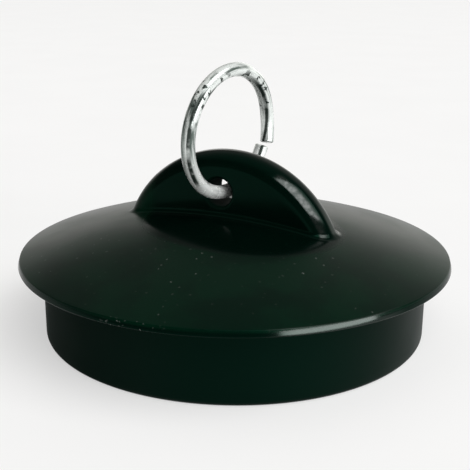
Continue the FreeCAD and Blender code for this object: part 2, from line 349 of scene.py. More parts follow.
def rubber_material(finish, form):
    """Smooth black rubber: a dull film and dust on the dome, left off round the tab as a painted reflection
    of it, a rubbed edge and shoulder, a dull bore.
    """
    material, tree, shader, place = new_material("black_rubber")
    sizes = form.sizes
    height = add_node(tree, "ShaderNodeSeparateXYZ", {0: place}).outputs[2]
    from_axis = distance(tree, place, (0, 0, 0), (1, 1, 0))
    on_edge = remap(tree, from_axis, EDGE_RADIUS - 0.4 * MM, EDGE_RADIUS - 0.2 * MM)
    on_dome = remap(tree, height, form.edge_top - 0.4 * MM, form.edge_top - 0.1 * MM)
    on_body = remap(tree, height, sizes.body_height, sizes.body_height - 0.3 * MM)
    to_side = vector_calc(tree, "DOT_PRODUCT", place, direction(DULL_BEARING, 0.0))
    dull_side = product(tree, on_body, remap(tree, to_side, *DULL_RISE),
                        remap(tree, to_side, *DULL_FALL, DULL_REST, 1.0))
    from_eye = distance(tree, place, tuple(form.eye), (1, 0, 1))
    in_bore = remap(tree, from_eye, sizes.eye_radius + 0.25 * MM, sizes.eye_radius + 0.1 * MM)

    # The film on the dome lies in soft patches. It stops at the oval round the tab, so the darker bare rubber
    # there is a painted reflection of the tab.
    from_tab = distance(tree, place, PAINTED_REFLECTION_MIDDLE, PAINTED_REFLECTION_SHAPE)
    cover = product(tree, remap(tree, from_tab, *PAINTED_REFLECTION_EDGE), on_dome)
    patches = remap(tree, noise(tree, place, FILM_WAVES, 6.0), 0.36, 0.64, 0.40, 1.20)
    film = product(tree, cover, patches)

    # Dust lies in drifts on the film, with a speck in some of the cells.
    stir = add_node(tree, "ShaderNodeTexNoise", {"Vector": place, "Scale": STIR_WAVES}).outputs["Color"]
    strewn = vector_calc(tree, "MULTIPLY_ADD", stir, (STIR_REACH,) * 3, place)
    cells = add_node(tree, "ShaderNodeTexVoronoi", {"Vector": strewn, "Scale": SPECK_CELLS},
                     voronoi_dimensions="2D").outputs
    chance = add_node(tree, "ShaderNodeSeparateColor", {0: cells["Color"]}).outputs[0]
    grain = remap(tree, cells["Distance"], 0.11, 0.03)
    drift = remap(tree, noise(tree, place, DRIFT_WAVES), 0.48, 0.66, 0.12, 1.0)
    specks = product(tree, grain, drift, cover, remap(tree, chance, 0.50, 1.0, 0.0, 0.5))

    # Scuffs are torn spots on the flange's edge.
    near = remap(tree, distance(tree, place, SCUFF_SPOT), SCUFF_REACH, 0.2 * SCUFF_REACH)
    torn = remap(tree, noise(tree, place, SCUFF_WAVES, 3.0), 0.58, 0.70)
    marks = calc(tree, "MAXIMUM", specks, product(tree, near, torn, on_edge))

    # The two rubbed places have a clear shine over the rubber.
    banded = remap(tree, distance(tree, place, BAND_SPOT), BAND_REACH, 0.55 * BAND_REACH)
    handled = remap(tree, distance(tree, place, form.shoulder_spot), SHINE_REACH, 0.75 * SHINE_REACH)
    from_arch = distance(tree, place, form.arch_middle, (1, 0, 1))
    past_face = calc(tree, "SUBTRACT", from_arch, sizes.tab_radius - sizes.tab_round)
    mottle = remap(tree, noise(tree, place, SHINE_WAVES, 3.0), 0.36, 0.64, 0.55, 1.0)
    streak = product(tree, handled, between(tree, past_face, SHINE_RISE, SHINE_FALL), mottle)
    shine = calc(tree, "MAXIMUM", product(tree, on_edge, banded, BAND_SHINE), streak)

    clean = mix_colour(tree, film, finish.rubber, finish.film)
    base = mix_colour(tree, marks, clean, finish.dust)
    rough = remap(tree, noise(tree, place, GLOSS_WAVES, 4.0), 0.35, 0.70, 0.12, 0.16)
    for share, dulls in ((cover, FILM_DULLS), (in_bore, BORE_DULLS), (on_body, BODY_DULLS),
                         (dull_side, SIDE_DULLS), (marks, MARK_DULLS)):
        rough = calc(tree, "MULTIPLY_ADD", share, dulls, rough)
    skin = calc(tree, "MULTIPLY_ADD", marks, MARK_HEIGHT, noise(tree, place, SKIN_WAVES, 3.0))
    relief = add_node(tree, "ShaderNodeBump", {"Strength": 1.0, "Distance": SKIN_DEPTH, "Height": skin})

    set_inputs(tree, shader, {
        "Base Color": base, "Roughness": rough, "Normal": relief.outputs[0],
        "Specular IOR Level": 0.07, "Specular Tint": (*finish.rubber_gloss, 1),
        "Coat Weight": shine, "Coat Roughness": 0.12, "Coat IOR": 1.7})
    return material


# Waves to the metre of the wire's lanes, pits, painted reflection line, polish and plating.
LANE_WAVES = 1700.0
PIT_WAVES = 1300.0
WIRE_REFLECTION_WAVES = 420.0
POLISH_WAVES = 1100.0
PLATING_WAVES = 1500.0
PLATING_DEPTH = 0.004 * MM
# Lanes change slowly along the wire, by these shares of the way across the tab and up.
LANE_DRAW = (0.0, 0.14, 0.11)
# A dark line, a painted reflection of dark surroundings in the wire, runs along the wire this far to one side
# of its middle, and fades over these distances.
WIRE_REFLECTION_ASIDE = 0.52 * MM
WIRE_REFLECTION_EDGE = (0.24 * MM, 0.10 * MM)
# Heights above the ring's middle where pits and the painted reflection line start and end, and where the
# wire's lower stretch is painted brighter as painted light.
PIT_RISE = (1.2 * MM, 2.6 * MM)
PIT_FALL = (7.4 * MM, 6.2 * MM)
WIRE_REFLECTION_RISE = (-6.2 * MM, -4.6 * MM)
WIRE_REFLECTION_FALL = (6.4 * MM, 4.6 * MM)
PAINTED_LIGHT_RISE = (-1.0 * MM, -4.5 * MM)


def wire_material(finish):
    """Pale plated wire: dull lanes along it, a dark line along one side that is a painted reflection, pits,
    and a stretch near the eye painted brighter as painted light.
    """
    material, tree, shader, place = new_material("bright_wire")
    middle = tuple(RING_MOUNT["pos_m"])
    apart = vector_calc(tree, "SUBTRACT", place, middle)
    aside = vector_calc(tree, "DOT_PRODUCT", apart, Vector(RING_MOUNT["axis"]))
    slow = vector_calc(tree, "DOT_PRODUCT", apart, LANE_DRAW)
    lane = add_node(tree, "ShaderNodeCombineXYZ", {0: aside, 1: distance(tree, place, middle), 2: slow})
    lanes = remap(tree, noise(tree, lane.outputs[0], LANE_WAVES), 0.50, 0.66)

    height = add_node(tree, "ShaderNodeSeparateXYZ", {0: apart}).outputs[2]
    worn = between(tree, height, PIT_RISE, PIT_FALL)
    pits = product(tree, worn, remap(tree, noise(tree, place, PIT_WAVES, 3.0), 0.53, 0.60))
    # Painted reflection: a dark line down one side of the ring's legs, in the pits' colour.
    off_wire_reflection = calc(tree, "ABSOLUTE", calc(tree, "SUBTRACT", aside, WIRE_REFLECTION_ASIDE))
    broken = remap(tree, noise(tree, place, WIRE_REFLECTION_WAVES, 3.0), 0.36, 0.50, 0.35, 1.0)
    line = product(tree, remap(tree, off_wire_reflection, *WIRE_REFLECTION_EDGE), broken,
                   between(tree, height, WIRE_REFLECTION_RISE, WIRE_REFLECTION_FALL))

    # Painted light: the wire is painted brighter and its lanes fade towards its lower stretch near the eye.
    bright = mix_colour(tree, remap(tree, height, *PAINTED_LIGHT_RISE), finish.wire, finish.rubbed)
    dulled = product(tree, lanes, remap(tree, height, *PAINTED_LIGHT_RISE, 1.0, 0.35))
    plated = mix_colour(tree, dulled, bright, finish.tarnish)
    base = mix_colour(tree, calc(tree, "MAXIMUM", pits, line), plated, finish.pits)
    rough = remap(tree, noise(tree, place, POLISH_WAVES, 4.0), 0.3, 0.7, 0.12, 0.32)
    relief = add_node(tree, "ShaderNodeBump", {"Strength": 1.0, "Distance": PLATING_DEPTH,
                                               "Height": noise(tree, place, PLATING_WAVES, 3.0)})
    set_inputs(tree, shader, {"Base Color": base, "Roughness": rough, "Normal": relief.outputs[0],
                              "Metallic": 0.4})
    return material


def round_corners(corners, steps):
    """An outline in radius and height whose corners, each with its rounding, become arcs."""
    points = [np.array(corners[0][:2])]
    for before, corner, after in zip(corners, corners[1:], corners[2:]):
        spot = np.array(corner[:2])
        back = np.array(before[:2]) - spot
        ahead = np.array(after[:2]) - spot
        back /= np.linalg.norm(back)
        ahead /= np.linalg.norm(ahead)
        half = math.acos(np.clip(back @ ahead, -1, 1)) / 2
        middle = spot + (back + ahead) / np.linalg.norm(back + ahead) * corner[2] / math.sin(half)
        first = spot + back * corner[2] / math.tan(half) - middle
        sweep = math.pi - 2 * half
        turn = math.copysign(sweep, back[0] * ahead[1] - back[1] * ahead[0])
        for share in np.linspace(0, 1, steps):
            c, s = math.cos(-turn * share), math.sin(-turn * share)
            points.append(middle + (c * first[0] - s * first[1], s * first[0] + c * first[1]))
    points.append(np.array(corners[-1][:2]))
    return points


def split_long(points, longest):
    """The same outline with its long straight runs divided."""
    finer = [points[0]]
    for start, end in zip(points, points[1:]):
        count = max(1, math.ceil(np.linalg.norm(end - start) / longest))
        finer += [start + (end - start) * step / count for step in range(1, count + 1)]
    return finer


# Points settle on a surface in so many rounds, by slopes taken over this step and no flatter than this.
SETTLE_ROUNDS = 6
SLOPE_STEP = 1e-7
LEAST_SLOPE = 0.05


class PlugForm:
    """The plug's surfaces, worked out from its sizes."""

    def __init__(self, sizes):
        self.sizes = sizes
        self.edge_top = sizes.body_height + sizes.flange_edge
        self.shoulder = sizes.flange_radius - sizes.flange_lean
        self.dome_top = self.edge_top + sizes.dome_rise
        self.sphere = (self.shoulder ** 2 + sizes.dome_rise ** 2) / (2 * sizes.dome_rise)
        self.sphere_z = self.dome_top - self.sphere
        self.eye = np.array(SWING["pos_m"])
        self.arch_x = self.eye[0] + sizes.eye_shift
        self.arch_z = PLUG_TOP - sizes.tab_radius
        self.half_thick = sizes.tab_thickness / 2
        self.arch_middle = (self.arch_x, 0.0, self.arch_z)
        self.shoulder_spot = (self.arch_x + sizes.tab_radius * math.sin(SHINE_TURN), -self.half_thick,
                              self.arch_z + sizes.tab_radius * math.cos(SHINE_TURN))

    def dome_height(self, radius):
        """Height of the dome at a distance from the plug's axis."""
        return self.sphere_z + np.sqrt(self.sphere ** 2 - radius ** 2)

    def dome_reach(self, turn, depth):
        """Distance from the arch's middle to the dome, in a direction turned from upright."""
        drop = self.arch_z - self.sphere_z
        along = self.arch_x * np.sin(turn) + drop * np.cos(turn)
        return -along + np.sqrt(along ** 2 - self.arch_x ** 2 - depth ** 2 - drop ** 2 + self.sphere ** 2)

    def outside(self, points):
        """Distance outside the dome and the tab, joined by the foot's fillet."""
        sizes = self.sizes
        dome = np.linalg.norm(points - (0, 0, self.sphere_z), axis=-1) - self.sphere
        reach = np.hypot(points[..., 0] - self.arch_x, points[..., 2] - self.arch_z)
        over_face = np.maximum(np.abs(points[..., 1]) - self.half_thick + sizes.tab_round, 0)
        over_arch = np.maximum(reach - sizes.tab_radius + sizes.tab_round, 0)
        tab = np.hypot(over_face, over_arch) - sizes.tab_round
        foot = sizes.tab_foot
        inner = np.hypot(np.maximum(foot - dome, 0), np.maximum(foot - tab, 0))
        return np.maximum(foot, np.minimum(dome, tab)) - inner

    def settle(self, points):
        """Points carried onto the surface of the dome and the tab."""
        steps = SLOPE_STEP * np.eye(3)
        for _ in range(SETTLE_ROUNDS):
            gap = self.outside(points)
            slope = np.stack([(self.outside(points + step) - self.outside(points - step))
                              / (2 * SLOPE_STEP) for step in steps], axis=-1)
            size = np.maximum((slope ** 2).sum(-1), LEAST_SLOPE)
            points = points - (gap / size)[..., None] * slope
        return points


# How finely the top of the plug is divided: along the tab, across it, and out to the turned part.
TAB_COLUMNS = 208
TAB_ROWS = 68
DOME_RINGS = 10
TURN_STEPS = 2 * (TAB_COLUMNS + TAB_ROWS)

# Steps of the turned outline over the dome and round each corner, and its longest straight run.
DOME_STEPS = 10
CORNER_STEPS = 7
LONGEST_RUN = 0.9 * MM
# Points along the dome, the tab's face, its rounding and its crest, from which a section's rows are picked.
DOME_POINTS = 300
FACE_POINTS = 400
BEND_POINTS = 200
CREST_POINTS = 40
# Steps from the eye's block of the grid in to its rim, over its rounding, and to the middle of its bore.
RIM_STEPS = 7
ROUND_STEPS = 6
BORE_STEPS = 5
# The eye's block is this many times as wide as the eye, and lies this close to the tab's flat face.
EYE_BLOCK = 1.25
FACE_NEAR = 0.02 * MM
# The tab's ends are looked for in a fan this wide to each side, and columns are picked from a fine run.
FAN_TURN = math.radians(85.0)
FAN_STEPS = 3401
RUN_STEPS = 2001
# Columns crowd at the tab's ends, and rows at its foot and on its rounding, by so much more than elsewhere.
# The ends reach over this angle of the arch, and the foot over so many times its fillet.
END_CROWD = 3.0
END_REACH = math.radians(3.0)
FOOT_CROWD = 2.0
FOOT_REACH = 1.2
ROUND_CROWD = 0.8

# The turned part ends at this share of the shoulder's radius, outside the patch that holds the tab.
JOIN_SHARE = 0.83
# The patch reaches this far past the tab's ends, as an angle of its arch, and past its faces.
PATCH_TURN = math.radians(8.0)
PATCH_MARGIN = 2.6 * MM


def turned_outline(form):
    """Half section of the plug from the dome, round the flange and body, to the middle of the hollow."""
    sizes = form.sizes
    inside = sizes.body_radius - sizes.body_wall
    ceiling = form.dome_top - sizes.crown_wall
    join = JOIN_SHARE * form.shoulder
    near_edge = form.shoulder - 3 * sizes.flange_round
    dome = [np.array((radius, form.dome_height(radius)))
            for radius in np.linspace(join, near_edge, DOME_STEPS)]
    corners = (
        (near_edge, form.dome_height(near_edge)),
        (form.shoulder, form.edge_top, sizes.flange_round),
        (sizes.flange_radius, sizes.body_height, sizes.flange_round),
        (sizes.body_radius, sizes.body_height, sizes.neck_round),
        (sizes.body_radius, 0.0, sizes.body_round),
        (inside, 0.0, sizes.rim_round),
        (inside, ceiling, sizes.hollow_round),
        (0.0, ceiling),
    )
    return dome[:-1] + split_long(round_corners(corners, CORNER_STEPS), LONGEST_RUN)


def turned_tree():
    """Geometry Nodes that turn an outline, given as a chain of points, about the Z axis."""
    tree, keys = make_tree("turned_rubber", (
        ("Steps", "NodeSocketInt"), ("Start Turn", "NodeSocketFloat"),
        ("Weld", "NodeSocketFloat"), ("Material", "NodeSocketMaterial")))
    given = add_node(tree, "NodeGroupInput").outputs
    count = add_node(tree, "GeometryNodeAttributeDomainSize", {"Geometry": given["Geometry"]}).outputs[0]
    columns = calc(tree, "ADD", given["Steps"], 1.0)
    grid = add_node(tree, "GeometryNodeMeshGrid", {"Vertices X": columns, "Vertices Y": count})
    index = add_node(tree, "GeometryNodeInputIndex").outputs[0]
    column = calc(tree, "FLOOR", calc(tree, "DIVIDE", calc(tree, "ADD", index, 0.5), count))
    row = calc(tree, "SUBTRACT", index, calc(tree, "MULTIPLY", column, count))
    place = add_node(tree, "GeometryNodeInputPosition").outputs[0]
    spot = add_node(tree, "GeometryNodeSampleIndex",
                    {"Geometry": given["Geometry"], "Value": place, "Index": row},
                    data_type="FLOAT_VECTOR", domain="POINT")
    outline = add_node(tree, "ShaderNodeSeparateXYZ", {0: spot.outputs[0]}).outputs
    share = calc(tree, "DIVIDE", calc(tree, "MULTIPLY", column, 2 * math.pi), given["Steps"])
    turn = calc(tree, "ADD", share, given["Start Turn"])
    turned = add_node(tree, "ShaderNodeCombineXYZ", {
        0: calc(tree, "MULTIPLY", outline[0], calc(tree, "COSINE", turn)),
        1: calc(tree, "MULTIPLY", outline[0], calc(tree, "SINE", turn)),
        2: outline[2]})
    moved = add_node(tree, "GeometryNodeSetPosition", {"Geometry": grid.outputs[0],
                                                       "Position": turned.outputs[0]})
    closed = add_node(tree, "GeometryNodeMergeByDistance", {"Geometry": moved.outputs[0],
                                                            "Distance": given["Weld"]})
    end_tree(tree, closed.outputs[0], given["Material"])
    return tree, keys


def spread(places, weights, count):
    """So many places along a run, closer together where the weight is larger."""
    total = np.concatenate([[0], np.cumsum(np.diff(places) * (weights[1:] + weights[:-1]) / 2)])
    return np.interp(np.linspace(0, total[-1], count), total, places)


def tab_columns(form):
    """Directions from the arch's middle in which the tab is cut across, closest at its ends."""
    fan = np.linspace(-FAN_TURN, FAN_TURN, FAN_STEPS)
    above = fan[form.dome_reach(fan, 0.0) < form.sizes.tab_radius]
    first, last = above[0], above[-1]
    run = np.linspace(first - PATCH_TURN, last + PATCH_TURN, RUN_STEPS)
    ends = np.minimum(np.abs(run - first), np.abs(run - last))
    return spread(run, 1 + END_CROWD * np.exp(-(ends / END_REACH) ** 2), TAB_COLUMNS + 1)


def tab_section(form, turn):
    """Depth and reach of the points where one direction's plane cuts the front half of dome and tab."""
    sizes = form.sizes
    flat = form.half_thick - sizes.tab_round
    arch = sizes.tab_radius - sizes.tab_round
    bend = np.linspace(0, math.pi / 2, BEND_POINTS)
    rise = np.linspace(0, arch, FACE_POINTS)
    crest = np.linspace(-flat, 0, CREST_POINTS)
    tab_depth = np.concatenate([np.full(FACE_POINTS, -form.half_thick),
                                -flat - sizes.tab_round * np.cos(bend), crest])
    tab_reach = np.concatenate([rise, arch + sizes.tab_round * np.sin(bend),
                                np.full(CREST_POINTS, sizes.tab_radius)])
    shown = tab_reach > form.dome_reach(turn, tab_depth)
    tab_depth, tab_reach = tab_depth[shown], tab_reach[shown]
    foot = tab_depth[0] if shown.any() else 0.0
    dome_depth = np.linspace(-form.half_thick - PATCH_MARGIN, foot, DOME_POINTS)
    depth = np.concatenate([dome_depth, tab_depth])
    reach = np.concatenate([form.dome_reach(turn, dome_depth), tab_reach])
    run = np.concatenate([[0], np.cumsum(np.hypot(np.diff(depth), np.diff(reach)))])
    from_foot = np.abs(run - run[len(dome_depth) - 1])
    weight = 1 + FOOT_CROWD * np.exp(-(from_foot / (FOOT_REACH * sizes.tab_foot)) ** 2)
    chosen = spread(run, weight + ROUND_CROWD * (reach > arch), TAB_ROWS // 2 + 1)
    return np.interp(chosen, run, depth), np.interp(chosen, run, reach)


def tab_patch(form):
    """Grid of points over the tab and the dome beside it: along the tab, then across from the front."""
    turns = tab_columns(form)
    grid = np.zeros((len(turns), TAB_ROWS + 1, 3))
    for column, turn in enumerate(turns):
        depth, reach = tab_section(form, turn)
        half = np.stack([form.arch_x + reach * math.sin(turn), depth,
                         form.arch_z + reach * math.cos(turn)], axis=-1)
        grid[column, :len(half)] = half
        grid[column, len(half) - 1:] = half[::-1] * (1, -1, 1)
    return turns, form.settle(grid)


def bridge(faces, first, second):
    """Quads between two closed loops of vertex numbers."""
    faces.extend(zip(first, second, np.roll(second, -1), np.roll(first, -1)))


def block_loop(numbers, columns, rows):
    """Vertex numbers round a block of a grid."""
    (left, right), (low, high) = columns, rows
    return np.concatenate([numbers[left:right, low], numbers[right, low:high],
                           numbers[right:left:-1, high], numbers[left, high:low:-1]])


def start_turn():
    """Bearing of the patch's first corner, so that its front edge lies square to the turned part."""
    return -math.pi / 2 - math.pi * TAB_COLUMNS / TURN_STEPS


def top_mesh(form):
    """Dome and tab with its eye, from the tab's grid out to the circle where the turned part begins."""
    sizes = form.sizes
    turns, grid = tab_patch(form)
    points = [grid.reshape(-1, 3)]
    numbers = np.arange(grid.shape[0] * grid.shape[1]).reshape(grid.shape[:2])
    total = numbers.size
    faces = []

    def join_loop(before, loop):
        """Vertex numbers of a new loop of points, which is joined to the loop before it."""
        nonlocal total
        points.append(loop)
        now = np.arange(total, total + len(loop))
        total += len(loop)
        bridge(faces, before, now)
        return now

    # The eye's block of the grid, on the front face and mirrored on the back.
    eye = form.eye
    eye_reach = eye[2] - form.arch_z
    eye_edge = sizes.eye_radius + sizes.eye_round
    from_eye = np.abs(turns + sizes.eye_shift / eye_reach)
    middle = from_eye.argmin()
    wide = np.flatnonzero(from_eye < EYE_BLOCK * eye_edge / eye_reach)
    tall = grid[middle, :TAB_ROWS // 2 + 1, 2] - eye[2]
    on_face = np.abs(grid[middle, :TAB_ROWS // 2 + 1, 1] + form.half_thick) < FACE_NEAR
    high = np.flatnonzero(on_face & (np.abs(tall) < EYE_BLOCK * eye_edge))
    columns = (wide[0], wide[-1])
    rows = (high[0], high[-1])
    front = block_loop(numbers, columns, rows)
    mirrored = block_loop(numbers[:, ::-1], columns, rows)

    for column in range(len(turns) - 1):
        for row in range(TAB_ROWS):
            nearer = min(row, TAB_ROWS - 1 - row)
            in_block = columns[0] <= column < columns[1] and rows[0] <= nearer < rows[1]
            if not in_block:
                faces.append((numbers[column, row], numbers[column + 1, row],
                              numbers[column + 1, row + 1], numbers[column, row + 1]))

    # Loops from the block's edge in to the eye, over its rounding, through the bore and out again.
    border = points[0][front]
    outward = (border - eye) * (1, 0, 1)
    outward /= np.linalg.norm(outward, axis=1)[:, None]
    rim = eye + outward * eye_edge - (0, form.half_thick, 0)
    half_bore = form.half_thick - sizes.eye_round
    loops = [border + (rim - border) * share for share in np.linspace(0, 1, RIM_STEPS + 1)[1:]]
    for lean in np.linspace(0, math.pi / 2, ROUND_STEPS + 1)[1:]:
        radius = eye_edge - sizes.eye_round * math.sin(lean)
        depth = half_bore + sizes.eye_round * math.cos(lean)
        loops.append(eye + outward * radius - (0, depth, 0))
    waist = eye + outward * sizes.eye_radius
    loops += [waist - (0, depth, 0) for depth in np.linspace(half_bore, 0, BORE_STEPS + 1)[1:-1]]
    through = loops + [waist] + [loop * (1, -1, 1) for loop in reversed(loops)]
    before = front
    for loop in through:
        before = join_loop(before, loop)
    bridge(faces, before, mirrored)

    # Rings that widen from the patch's border to a circle on the dome.
    before = block_loop(numbers, (0, len(turns) - 1), (0, TAB_ROWS))
    border = points[0][before][:, :2]
    bearing = start_turn() + 2 * math.pi * np.arange(TURN_STEPS) / TURN_STEPS
    circle = JOIN_SHARE * form.shoulder * np.stack([np.cos(bearing), np.sin(bearing)], axis=-1)
    for share in np.linspace(0, 1, DOME_RINGS + 1)[1:]:
        plan = border + (circle - border) * share
        height = form.dome_height(np.linalg.norm(plan, axis=1))
        before = join_loop(before, np.column_stack([plan, height]))

    mesh = bpy.data.meshes.new("plug_top")
    mesh.from_pydata(np.concatenate(points).tolist(), [], [tuple(map(int, face)) for face in faces])
    return mesh


def plug_mesh(form, material):
    """The whole moulding: the turned part from Geometry Nodes, welded to the dome and tab."""
    outline = turned_outline(form)
    chain = bpy.data.meshes.new("plug_outline")
    links = [(number, number + 1) for number in range(len(outline) - 1)]
    chain.from_pydata([(spot[0], 0.0, spot[1]) for spot in outline], links, [])
    tree, keys = turned_tree()
    turned = run_tree(tree, keys, {"Steps": TURN_STEPS, "Start Turn": start_turn(), "Weld": 0.1 * WELD,
                                   "Material": material}, chain)
    joined = bmesh.new()
    joined.from_mesh(turned)
    joined.from_mesh(top_mesh(form))
    bmesh.ops.remove_doubles(joined, verts=joined.verts, dist=WELD)
    bmesh.ops.recalc_face_normals(joined, faces=joined.faces)
    if any(not edge.is_manifold for edge in joined.edges):
        raise RuntimeError("the plug's surface is not closed")
    mesh = bpy.data.meshes.new("rubber_moulding")
    joined.to_mesh(mesh)
    joined.free()
    mesh.materials.clear()
    mesh.materials.append(material)
    mesh.shade_smooth()
    return mesh


# How finely the wire is divided along it and round it, and the waves to the metre and seed of its dents.
RING_STEPS = 520
RING_SIDES = 40
DENT_WAVES = 620.0
RING_SEED = 3.0
# The ring's sizes that its tree takes, by the labels of the tree's inputs.
RING_INPUTS = ("Ring Radius", "Wire Radius", "Cut Gap", "Cut Spread", "Cut Bend", "End Round", "Unevenness")


def ring_tree():
    """Geometry Nodes that bend a wire into one turn, with a short stretch leaning out to its cut end."""
    numbers = [(label, "NodeSocketFloat") for label in (*RING_INPUTS, "Seed")]
    tree, keys = make_tree("bent_wire", (
        *numbers, ("Steps", "NodeSocketInt"), ("Sides", "NodeSocketInt"), ("Material", "NodeSocketMaterial")))
    given = add_node(tree, "NodeGroupInput").outputs
    radius = given["Ring Radius"]
    line = add_node(tree, "GeometryNodeCurvePrimitiveLine")
    path = add_node(tree, "GeometryNodeResampleCurve", {"Curve": line.outputs[0], "Count": given["Steps"]})
    share = add_node(tree, "GeometryNodeSplineParameter").outputs["Factor"]

    # The turn runs from one cut end to the other, and is nought where the wire starts to lean out.
    gap_turn = calc(tree, "DIVIDE", given["Cut Gap"], radius)
    whole = calc(tree, "SUBTRACT", 2 * math.pi, gap_turn)
    last = calc(tree, "SUBTRACT", given["Cut Bend"], calc(tree, "MULTIPLY", gap_turn, 0.5))
    to_last = calc(tree, "MULTIPLY", whole, calc(tree, "SUBTRACT", 1.0, share))
    turn = calc(tree, "SUBTRACT", last, to_last)
    depth = calc(tree, "MULTIPLY", radius,
                 calc(tree, "SUBTRACT", 1.0, calc(tree, "COSINE", given["Cut Bend"])))
    spread_sine = calc(tree, "DIVIDE", given["Cut Spread"], depth)
    leaning = calc(tree, "GREATER_THAN", turn, 0.0)
    lean = calc(tree, "MULTIPLY", calc(tree, "ARCSINE", spread_sine), leaning)
    drop = calc(tree, "MULTIPLY", radius, calc(tree, "SUBTRACT", 1.0, calc(tree, "COSINE", turn)))
    bent = add_node(tree, "ShaderNodeCombineXYZ", {
        0: calc(tree, "MULTIPLY", drop, calc(tree, "SINE", lean)),
        1: calc(tree, "MULTIPLY", radius, calc(tree, "SINE", turn)),
        2: calc(tree, "SUBTRACT", radius, calc(tree, "MULTIPLY", drop, calc(tree, "COSINE", lean)))})
    wire = add_node(tree, "GeometryNodeSetPosition", {"Geometry": path.outputs[0],
                                                      "Position": bent.outputs[0]})

    # Near a cut end the wire thins along a quarter circle.
    from_first = calc(tree, "SUBTRACT", whole, to_last)
    to_end = calc(tree, "MULTIPLY", radius, calc(tree, "MINIMUM", to_last, from_first))
    short = calc(tree, "MAXIMUM", calc(tree, "SUBTRACT", given["End Round"], to_end), 0.0)
    arc = calc(tree, "SQRT", calc(tree, "SUBTRACT", calc(tree, "POWER", given["End Round"], 2.0),
                                  calc(tree, "POWER", short, 2.0)))
    loss = calc(tree, "DIVIDE", calc(tree, "SUBTRACT", given["End Round"], arc), given["Wire Radius"])
    scale = calc(tree, "SUBTRACT", 1.0, loss)
    profile = add_node(tree, "GeometryNodeCurvePrimitiveCircle", {"Resolution": given["Sides"],
                                                                  "Radius": given["Wire Radius"]})
    tube = add_node(tree, "GeometryNodeCurveToMesh", {"Curve": wire.outputs[0], "Scale": scale,
                                                      "Profile Curve": profile.outputs[0],
                                                      "Fill Caps": True})

    place = add_node(tree, "GeometryNodeInputPosition").outputs[0]
    dents = add_node(tree, "ShaderNodeTexNoise", {"Vector": place, "W": given["Seed"], "Scale": DENT_WAVES,
                                                  "Detail": 2.0}, noise_dimensions="4D")
    dent = calc(tree, "MULTIPLY", calc(tree, "SUBTRACT", dents.outputs["Fac"], 1.0), given["Unevenness"])
    outward = add_node(tree, "GeometryNodeInputNormal").outputs[0]
    push = add_node(tree, "ShaderNodeVectorMath", {0: outward, 3: dent}, operation="SCALE")
    dented = add_node(tree, "GeometryNodeSetPosition", {"Geometry": tube.outputs[0],
                                                        "Offset": push.outputs[0]})
    end_tree(tree, dented.outputs[0], given["Material"])
    return tree, keys


def ring_mesh(sizes, material):
    """The wire ring, bent by Geometry Nodes and placed in the eye."""
    tree, keys = ring_tree()
    values = {label: getattr(sizes, label.lower().replace(" ", "_")) for label in RING_INPUTS}
    values.update({"Seed": RING_SEED, "Steps": RING_STEPS, "Sides": RING_SIDES, "Material": material})
    mesh = run_tree(tree, keys, values, bpy.data.meshes.new("ring_start"))
    axis = Vector(RING_MOUNT["axis"])
    yaw = math.atan2(axis.y, axis.x)
    lean = -math.asin(axis.z)
    place = (Matrix.Translation(RING_MOUNT["pos_m"]) @ Matrix.Rotation(yaw, 4, "Z")
             @ Matrix.Rotation(lean, 4, "Y") @ Matrix.Rotation(sizes.cut_bend - sizes.cut_turn, 4, "X"))
    mesh.transform(place)
    return mesh


# Each soft panel's lowest and highest direction from the plug, as bearing and lift, and its width, all in
# degrees, then its radiance.
PANELS = {
    "soft_box": ((108.0, 33.0), (108.0, 69.0), 72.0, 3.5),
    "low_light": ((106.0, 0.5), (106.0, 12.0), 50.0, 10.0),
}
PANEL_DISTANCE = 8.0
# Level of the light all round, level of the pale band along the horizon, and the light's tint.
ROOM_LEVEL = 0.09
HORIZON_LEVEL = 1.08
ROOM_TINT = (1.0, 0.98, 0.94)
# Bearing and lift of each pale place in degrees, the cosines from there at which it starts and is full, and
# its level outside and inside.
HORIZON_PLACE = (-15.0, 0.0, 0.35, 0.70, 0.12, 1.0)
WINDOW_PLACE = (8.0, 20.0, 0.80, 1.0, 0.0, 0.45)
OVERHEAD_PLACE = (-60.0, 74.0, 0.60, 0.95, 0.0, 0.42)
# The floor reaches this far each way. To the eye and in the gloss, this share of it is plain white. Its tone
# has so many waves to the metre.
FLOOR_REACH = 12.0
FLOOR_GLOW = 0.5
FLOOR_WAVES = 40.0
# The camera's sensor in millimetres, and the nearest thing it sees.
SENSOR = 36.0
NEAR_CLIP = 5.0 * MM


def add_panel_light(name, low, high, width, radiance):
    """A soft panel that is seen from the plug between two directions, as wide as an angle in degrees."""
    middle = (low + high).normalized()
    half_tall = low.angle(high) / 2
    light = bpy.data.lights.new(name, "AREA")
    light.shape = "RECTANGLE"
    light.size = 2 * PANEL_DISTANCE * math.tan(math.radians(width) / 2)
    light.size_y = 2 * PANEL_DISTANCE * math.tan(half_tall)
    light.energy = radiance * math.pi * light.size * light.size_y
    panel = bpy.data.objects.new(name, light)
    bpy.context.scene.collection.objects.link(panel)
    up = (high - low).normalized()
    right = up.cross(middle).normalized()
    turn = Matrix((right, up, middle)).transposed().to_4x4()
    panel.matrix_world = Matrix.Translation(middle * PANEL_DISTANCE) @ turn


